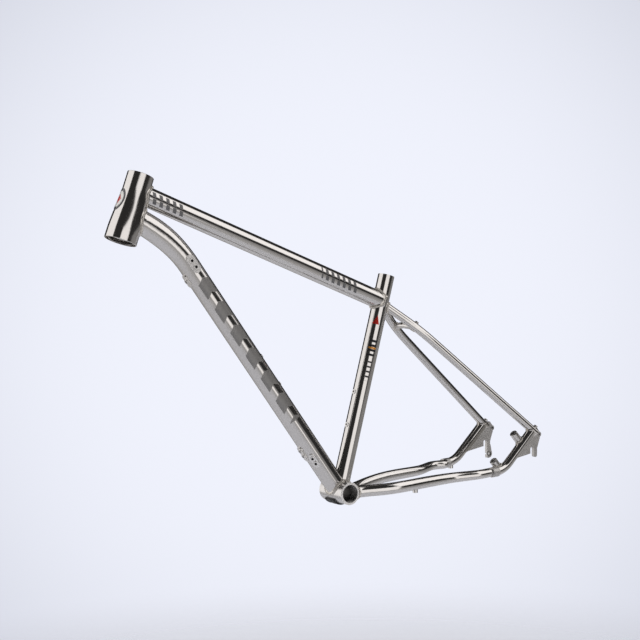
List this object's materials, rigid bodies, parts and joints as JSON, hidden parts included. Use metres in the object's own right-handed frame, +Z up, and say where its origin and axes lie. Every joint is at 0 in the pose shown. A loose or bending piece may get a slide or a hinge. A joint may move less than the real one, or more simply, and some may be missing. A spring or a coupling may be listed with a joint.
{
  "type": "bicycle frame",
  "caption": "Hardtail mountain bike frame of welded brushed tube, with a tapered head tube, bent down tube, curved stays, slotted dropouts and disc brake posts.",
  "frame": {"origin": "centre of the bottom bracket shell", "axes": "+X towards the head tube, +Y to the rider's left along the bottom bracket's axis, +Z up"},
  "size_m": [0.916, 0.1702, 0.6143],
  "materials": {
    "brushed_metal": "brushed",
    "machined_metal": "satin, machined",
    "blasted_metal": "matt, bead blasted",
    "weld_metal": "as welded",
    "black_plastic": "matt",
    "screw_steel": "satin",
    "badge_enamel": "gloss enamel"
  },
  "bodies": {
    "root": {"bottle_bosses_down_tube": "brushed_metal", "bottle_bosses_seat_tube": "brushed_metal", "bottom_bracket_cable_guide": "black_plastic", "bottom_bracket_shell": "brushed_metal", "brake_post_lower": "machined_metal", "brake_post_upper": "machined_metal", "cable_guide_right": "brushed_metal", "cable_guide_screw": "screw_steel", "cable_port_lower_left": "brushed_metal", "cable_port_lower_under": "brushed_metal", "cable_port_upper_left": "brushed_metal", "cable_port_upper_under": "brushed_metal", "chainstay_bridge": "brushed_metal", "chainstay_collar_left": "blasted_metal", "chainstay_collar_right": "blasted_metal", "chainstay_left": "brushed_metal", "chainstay_right": "brushed_metal", "down_tube": "brushed_metal", "dropout_left": "machined_metal", "dropout_right": "machined_metal", "head_badge": "badge_enamel", "head_tube": "brushed_metal", "hose_boss": "brushed_metal", "hose_guide_left": "brushed_metal", "rack_bosses": "brushed_metal", "rear_stay_left": "brushed_metal", "rear_stay_right": "brushed_metal", "seat_tube": "brushed_metal", "seat_tube_sleeve": "brushed_metal", "seatstay_bridge": "brushed_metal", "seatstay_left": "brushed_metal", "seatstay_right": "brushed_metal", "top_tube": "brushed_metal", "weld_brake_posts": "weld_metal", "weld_chainstay_bridge": "weld_metal", "weld_dropout_left": "weld_metal", "weld_dropout_right": "weld_metal", "weld_head_to_down_tube": "weld_metal", "weld_head_to_top_tube": "weld_metal", "weld_seat_to_seatstays": "weld_metal", "weld_seat_to_top_tube": "weld_metal", "weld_seatstay_bridge": "weld_metal", "weld_shell_to_chainstays": "weld_metal", "weld_shell_to_down_tube": "weld_metal", "weld_shell_to_seat_tube": "weld_metal"}
  },
  "joints": []
}
